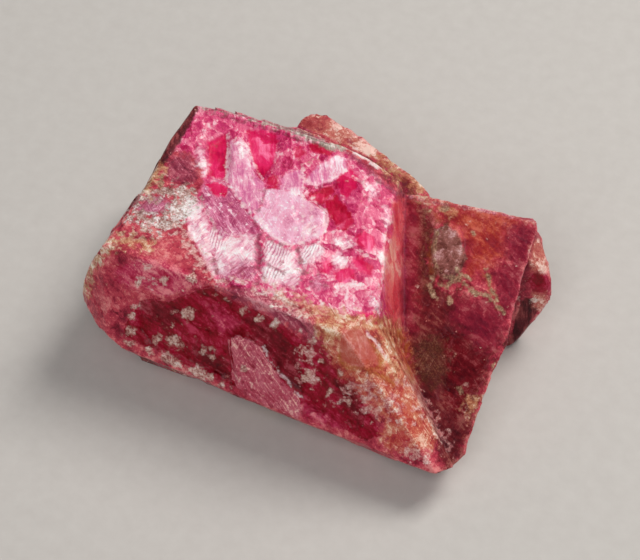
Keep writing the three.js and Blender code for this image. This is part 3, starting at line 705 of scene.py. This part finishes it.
def fields(points, seen):
    """For each kind, how far inside it each point lies, in mm: as drawn where seen is 1, as noise has it
    where seen is 0, and between them in between."""
    pixels = image_pixels(points * MM)
    front = seen > 0
    behind = seen < 1
    found = {}
    for number, (name, kind) in enumerate(KINDS.items()):
        drawn = np.full(len(points), -REACH)
        insides = [distance_inside(shape, pixels[front]) for shape in kind.shapes]
        drawn[front] = np.maximum.reduce(insides) / PIXELS_PER_MM
        wild = np.full(len(points), -REACH)
        if kind.wild is not None:
            wild[behind] = WILD_SPREAD * cloud(points[behind], WILD_SIZE, seed=number) + kind.wild
        found[name] = seen * np.clip(drawn, -REACH, REACH) + (1 - seen) * np.clip(wild, -REACH, REACH)
    return found


def broken(points, size, seed):
    """Broken pieces of a size in mm. For each point: how pale its piece is and how near its rim it lies, both
    from 0 to 1, and how high the tilted piece stands there, in mm for a slope of 1."""
    noise.seed_set(seed)  # without it, turbulence_vector differs from run to run
    shift = Vector((seed * 3.7, seed * 9.1, seed * 5.3))
    found = np.empty((3, len(points)))
    for i, point in enumerate(points):
        bend = noise.turbulence_vector(Vector(point) / size * 0.8 + shift, 2, False)
        place = Vector(point) / size + shift + BEND * bend
        distances, centres = noise.voronoi(place)
        way = noise.cell_vector(centres[0] * 91)
        pale = noise.cell(centres[0] * 57 + shift)
        rim = 1 - (distances[1] - distances[0]) / RIM
        found[:, i] = pale, rim, (place - centres[0]).dot(way) * size
    return np.clip(found[0] / 2 + 0.5, 0, 1), np.clip(found[1], 0, 1), found[2]


def corner_normals(points, triangles):
    total = np.zeros_like(points)
    cross = crosses(points, triangles)
    for i in range(3):
        np.add.at(total, triangles[:, i], cross)
    return unit(total)


def worn(field):
    """How far each point is drawn in: a little everywhere, most over the low ledges and in the valley."""
    within = np.maximum.reduce([field[name] + past for name, past in WORN.items()])
    return np.clip(within / WEAR_BORDER, LEAST_WEAR, 1)


def bulging(points, triangles, normals):
    """From -1 in the hollows of the surface to 1 on its outer edges, and 0 where it is flat."""
    inward = evened(points, triangles, np.ones(len(points)), WEAR_ROUNDS)
    return np.clip(((points - inward) * normals).sum(axis=1) / BULGE, -1, 1)


def roughened(points, normals, field, tilted):
    """The points moved along their normals by each kind's own relief, but not at the foot."""
    grains = sorted({kind.grain for kind in KINDS.values()})
    layers = {grain: cloud(points, grain, seed=50 + i, octaves=2) for i, grain in enumerate(grains)}
    rough = np.zeros(len(points))
    for name, kind in KINDS.items():
        share = np.clip(field[name] / RELIEF_BORDER + 0.5, 0, 1)
        steep = kind.tilt * np.clip(field[name] / TILT_BORDER, 0, 1)
        own = abs(kind.relief) * layers[kind.grain] + min(kind.relief, 0) + steep * tilted
        rough = rough * (1 - share) + share * own
    height = rough + WAVES * cloud(points, WAVE_SIZE, seed=40)
    return points + normals * (height * grounded(points))[:, None]


class Paint:
    """Shader nodes of one material. Most methods add a node and return its output."""

    def __init__(self, name):
        self.material = bpy.data.materials.new(name)
        self.material.use_nodes = True
        self.tree = self.material.node_tree
        self.shader = self.tree.nodes["Principled BSDF"]

    def set(self, socket, value):
        if isinstance(value, bpy.types.NodeSocket):
            self.tree.links.new(value, socket)
        else:
            socket.default_value = value

    def finish(self, settings):
        """The shader's own sockets, each set or linked by name."""
        for name, value in settings.items():
            self.set(self.shader.inputs[name], value)

    def add(self, kind, inputs, output=0, **settings):
        node = self.tree.nodes.new("ShaderNode" + kind)
        for name, value in settings.items():
            setattr(node, name, value)
        for name, value in inputs.items():
            self.set(node.inputs[name], value)
        return node.outputs[output]

    def math(self, operation, a, b=0.0):
        return self.add("Math", {0: a, 1: b}, operation=operation)

    def dot(self, vector, axis):
        return self.add("VectorMath", {0: vector, 1: axis}, "Value", operation="DOT_PRODUCT")

    def vector(self, operation, a, b=(0, 0, 0), c=(0, 0, 0), scale=1.0):
        return self.add("VectorMath", {0: a, 1: b, 2: c, 3: scale}, operation=operation)

    def attribute(self, name):
        return self.add("Attribute", {}, "Fac", attribute_name=name)

    def sum(self, *terms):
        """The terms added up. Each is a value and what it is multiplied by, or a plain number."""
        total = sum(term for term in terms if not isinstance(term, tuple))
        for value, weight in (term for term in terms if isinstance(term, tuple)):
            total = self.add("Math", {0: value, 1: weight, 2: total}, operation="MULTIPLY_ADD")
        return total

    def range(self, value, low, high, to_low=0.0, to_high=1.0, smooth=False):
        inputs = {"Value": value, "From Min": low, "From Max": high, "To Min": to_low, "To Max": to_high}
        return self.add("MapRange", inputs, interpolation_type="SMOOTHSTEP" if smooth else "LINEAR")

    def spread(self, low, high, *terms):
        """The terms added up, and spread so that low becomes 0 and high 1."""
        return self.range(self.sum(*terms), low, high)

    def noise(self, vector, scale, detail=4, roughness=0.6, distortion=0.0):
        inputs = {"Vector": vector, "Scale": scale, "Detail": detail, "Roughness": roughness}
        return self.add("TexNoise", {**inputs, "Distortion": distortion})

    def mix(self, share, a, b):
        """Colours mixed: for them the Mix node has inputs 6 and 7 and output 2."""
        return self.add("Mix", {0: share, 6: a, 7: b}, 2, data_type="RGBA")

    def blend(self, share, a, b):
        return self.add("Mix", {0: share, 2: a, 3: b})

    def ramp(self, share, *colours):
        node = self.tree.nodes.new("ShaderNodeValToRGB")
        self.set(node.inputs[0], share)
        stops = node.color_ramp.elements
        while len(stops) < len(colours):
            stops.new(0.5)
        for i, colour in enumerate(colours):
            stops[i].position = i / (len(colours) - 1)
            stops[i].color = colour
        return node.outputs[0]


def linear(colour):
    """A colour written as six hexadecimal digits, in Blender's linear numbers."""
    parts = [int(colour[i:i + 2], 16) / 255 for i in (0, 2, 4)]
    return [p / 12.92 if p <= 0.04045 else ((p + 0.055) / 1.055) ** 2.4 for p in parts] + [1]


def facets(paint, place, scale):
    """Pieces of broken crystal, each tilted its own way: about 0 to 1 across them."""
    centre = paint.add("TexVoronoi", {"Vector": place, "Scale": scale}, "Position")
    colour = centre.node.outputs["Color"]
    way = paint.vector("SUBTRACT", colour, (0.5, 0.5, 0.5))
    tilt = paint.dot(paint.vector("SUBTRACT", place, centre), way)
    own = paint.add("SeparateColor", {"Color": colour})
    return paint.sum((tilt, 0.9 * scale), (own, 0.6), 0.2)


def strands(paint, place, lean, width, length):
    """Streaks of a width and length in mm that lean right of upright on the image, in degrees."""
    lean = math.radians(lean)
    along = math.cos(lean) * UP + math.sin(lean) * RIGHT
    across = math.cos(lean) * RIGHT - math.sin(lean) * UP
    stretched = paint.add("CombineXYZ", {
        "X": paint.dot(place, across / width),
        "Y": paint.dot(place, along / length),
        "Z": paint.dot(place, BACK / length),
    })
    return paint.noise(stretched, 1, 4, 0.6, 0.3)


def patterns(paint, place):
    """The patterns that spread the colours, each from about 0 to 1, by the place on the crystal in mm."""
    bend = paint.add("TexNoise", {"Vector": place, "Scale": 0.7, "Detail": 3}, "Color")
    warped = paint.vector("MULTIPLY_ADD", bend, (0.6, 0.6, 0.6), place)
    pale = paint.attribute("pale")
    small = facets(paint, warped, 2.2)
    clouds = paint.noise(place, 0.8, 6, 0.65, 0.4)
    grit = paint.noise(place, 7, 5, 0.75)
    crumb = paint.noise(place, 2.8, 3, 0.8)
    # Tiny bright flecks that stand for glints: painted highlights.
    glint_flecks = paint.range(paint.noise(place, 4.5, 4, 0.7), 0.55, 0.68)
    upright = strands(paint, warped, -6, 0.22, 1.8)
    slanted = strands(paint, warped, -38, 0.2, 1.4)
    combed = strands(paint, warped, 55, 0.14, 1.2)
    smear = strands(paint, warped, -50, 0.4, 1.6)
    line = paint.dot(warped, 0.92 * RIGHT - 0.4 * UP)
    wave = paint.math("SINE", paint.sum((line, 2 * math.pi / LINE_GAP), (clouds, 12), (grit, 4)))
    spreads = {
        "facets": (0.6, 1.35, (pale, 0.4), (small, 0.35), (upright, 0.7), (grit, 0.3), (glint_flecks, 0.25)),
        "streak": (0.53, 0.97, (upright, 0.9), (clouds, 0.5), (pale, 0.1), (glint_flecks, 0.15)),
        "slanted": (0.5, 1.05, (slanted, 1), (small, 0.2), (grit, 0.25), (glint_flecks, 0.3)),
        "combed": (0.6, 1.2, (combed, 0.9), (pale, 0.2), (small, 0.3), (grit, 0.4)),
        "milky": (0.46, 0.88, (clouds, 0.7), (upright, 0.3), (glint_flecks, 0.25), (grit, 0.2)),
        "calm": (0.35, 0.85, (clouds, 0.5), (upright, 0.45), (pale, 0.25)),
        "smears": (0.66, 1.1, (smear, 0.8), (clouds, 0.7), (grit, 0.3), (glint_flecks, 0.12)),
        "cloud": (0.52, 0.92, (clouds, 0.9), (small, 0.2), (grit, 0.3), (glint_flecks, 0.15)),
        "grit": (0.36, 0.66, (grit, 0.8), (clouds, 0.2)),
        "crumbs": (0.6, 0.9, (grit, 0.6), (crumb, 0.6), (clouds, 0.3)),
    }
    found = {name: paint.spread(*row) for name, row in spreads.items()}
    return {**found, "hatch": paint.range(wave, -0.9, 0.3), "small": small, "fine": grit}


def pale_lines_and_glints(paint, place):
    """How strongly thin pale lines show, lines that are partly painted glints: the rims of the broken pieces,
    and scratches in two directions.
    """
    gaps = paint.range(paint.noise(place, 1.4, 3), 0.45, 0.6)
    net = paint.math("MULTIPLY", paint.range(paint.attribute("border"), 0.5, 0.95), gaps)
    first = paint.range(strands(paint, place, -32, 0.07, 1.5), 0.56, 0.7)
    second = paint.range(strands(paint, place, 28, 0.07, 1.1), 0.58, 0.72)
    return net, paint.math("MAXIMUM", first, second)


def spinel():
    """Pink-red spinel: the skin, windows, plates, crust and stains that the kinds describe, with painted
    highlights, glints, sheen and shade laid over them.
    """
    paint = Paint("spinel")
    place = paint.vector("SCALE", paint.add("TexCoord", {}, "Object"), scale=1 / MM)
    pattern = patterns(paint, place)
    # Pale rim and scratch lines, partly painted glints.
    net, scratches = pale_lines_and_glints(paint, place)
    # Painted light laid over every kind: outer edges painted lighter and hollows darker, with the listed
    # places' painted highlights, sheen and shade and their own tone.
    edge_light_and_hollow_shade = paint.math("MULTIPLY", paint.attribute("bulge"), paint.range(pattern["fine"], 0.35, 0.6))
    tone_and_painted_light = paint.sum((paint.attribute("tone_and_painted_light"), 1), (edge_light_and_hollow_shade, PAINTED_EDGE_AND_HOLLOW_SHADE))
    edge = paint.math("SUBTRACT", paint.noise(place, 2.2, 6, 0.58), 0.5)
    colour = roughness = None
    for name, kind in KINDS.items():
        toned = paint.sum((pattern[kind.pattern], 1), (tone_and_painted_light, 1), (net, kind.net), (scratches, kind.scratches))
        own = paint.ramp(toned, *map(linear, kind.colours.split()))
        if colour is None:
            colour, roughness = own, kind.rough
            continue
        wandering = paint.sum((paint.attribute(name), 1), (edge, 4 * kind.ragged))
        share = paint.range(wandering, -kind.soft, kind.soft, 0, kind.cover, smooth=True)
        colour = paint.mix(share, colour, own)
        roughness = paint.blend(share, roughness, kind.rough)
    relief = paint.sum((pattern["fine"], 0.8), (pattern["small"], 1), (scratches, 0.3))
    height = paint.math("MULTIPLY", relief, paint.range(roughness, 0.1, 0.5, 0.4, 1.3))
    paint.finish({
        "Base Color": colour,
        "Roughness": roughness,
        "Normal": paint.add("Bump", {"Strength": 1, "Distance": BUMP, "Height": height}),
        "IOR": 1.718,
        "Specular IOR Level": 0.2,
        "Specular Tint": (1, 0.5, 0.58, 1),
        "Subsurface Weight": 0.2,
        "Subsurface Radius": (1, 0.25, 0.3),
        "Subsurface Scale": SCATTER,
    })
    return paint.material


def placed(name, data, place=(0, 0, 0), turn=None):
    """A new object in the scene."""
    made = bpy.data.objects.new(name, data)
    made.location = place
    if turn is not None:
        made.rotation_mode = "QUATERNION"
        made.rotation_quaternion = turn
    bpy.context.scene.collection.objects.link(made)
    return made


def seen_share(points, triangles, cad):
    """From 1 where the camera sees the surface to 0 where it doesn't, with a soft change between."""
    corners, cad_triangles = merged(cad)
    tree = BVHTree.FromPolygons([Vector(p) for p in corners], cad_triangles.tolist())
    eye = EYE / MM
    seen = np.zeros(len(points))
    for i, (point, normal) in enumerate(zip(points, corner_normals(points, triangles))):
        sight = eye - Vector(point)
        start = point + normal * math.copysign(CLEAR, sight.dot(Vector(normal)))
        behind = tree.ray_cast(Vector(start), sight)[3]
        seen[i] = behind is None or behind < WRAP
    soft = evened(seen[:, None], triangles, np.ones(len(points)), WEAR_ROUNDS)[:, 0]
    return np.clip(soft * 1.2 - 0.1, 0, 1)


def crystal():
    """The whole group as one mesh, riding where the CAD solid is."""
    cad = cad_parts[NODE].data
    points, triangles = refined(cad)
    seen = seen_share(points, triangles, cad)
    points = swollen(points)
    field = fields(points, seen)
    # the listed places' own tone and their painted highlights, glints, sheen and shade
    field["tone_and_painted_light"] = painted_light_and_tone(points, seen)
    field["pale"], field["border"], tilted = broken(points, PIECE_SIZE, seed=3)
    points = evened(points, triangles, worn(field) * grounded(points), WEAR_ROUNDS)
    normals = corner_normals(points, triangles)
    field["bulge"] = bulging(points, triangles, normals)
    points = roughened(points, normals, field, tilted)
    mesh = bpy.data.meshes.new("crystal")
    mesh.from_pydata((points * MM).tolist(), [], triangles.tolist())
    mesh.shade_smooth()
    for name, values in field.items():
        mesh.attributes.new(name, "FLOAT", "POINT").data.foreach_set("value", values.astype(np.float32))
    mesh.materials.append(spinel())
    piece = placed("crystal", mesh)
    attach(piece, "root")
    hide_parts(NODE)


def camera():
    """The camera for which the outlines are drawn."""
    made = placed("camera", bpy.data.cameras.new("camera"), EYE, (-BACK).to_track_quat("-Z", "Y"))
    made.data.sensor_width = SENSOR
    made.data.lens = FOCAL_PIXELS * SENSOR / WIDTH
    made.data.clip_start = 0.01
    bpy.context.scene.camera = made


def area_light(name, azimuth, elevation, distance, size, power, colour=(1, 1, 1)):
    """A soft square light that faces the crystal, from an angle round it and above the floor."""
    light = bpy.data.lights.new(name, "AREA")
    light.size = size
    light.energy = power
    light.color = colour
    a, e = math.radians(azimuth), math.radians(elevation)
    away = Vector((math.cos(a) * math.cos(e), math.sin(a) * math.cos(e), math.sin(e)))
    placed(name, light, AIM + away * distance, away.to_track_quat("Z", "Y"))


def pale_grey():
    """The floor's material, with a faint grain."""
    paint = Paint("floor")
    place = paint.add("TexCoord", {}, "Object")
    grain = paint.noise(place, 900, 3)
    paint.finish({"Base Color": paint.ramp(grain, linear("bcb8b4"), linear("c8c5c1")), "Roughness": 0.8})
    return paint.material


def studio():
    """A floor, a soft key light from behind on the right, a broad one in front and a dim surround."""
    mesh = bpy.data.meshes.new("floor")
    corners = [(-FLOOR, -FLOOR, 0), (FLOOR, -FLOOR, 0), (FLOOR, FLOOR, 0), (-FLOOR, FLOOR, 0)]
    mesh.from_pydata(corners, [], [(0, 1, 2, 3)])
    mesh.materials.append(pale_grey())
    floor = placed("floor", mesh)
    area_light("key", azimuth=62, elevation=50, distance=0.4, size=0.18, power=1.3, colour=(1, 0.97, 0.93))
    area_light("fill", azimuth=280, elevation=48, distance=0.5, size=0.35, power=1.25)
    world = bpy.data.worlds.new("surround")
    world.use_nodes = True
    background = world.node_tree.nodes["Background"].inputs
    background["Color"].default_value = (1, 0.97, 0.95, 1)
    background["Strength"].default_value = 0.12
    bpy.context.scene.world = world
    bpy.context.scene.view_settings.view_transform = "Standard"


camera()
studio()
crystal()
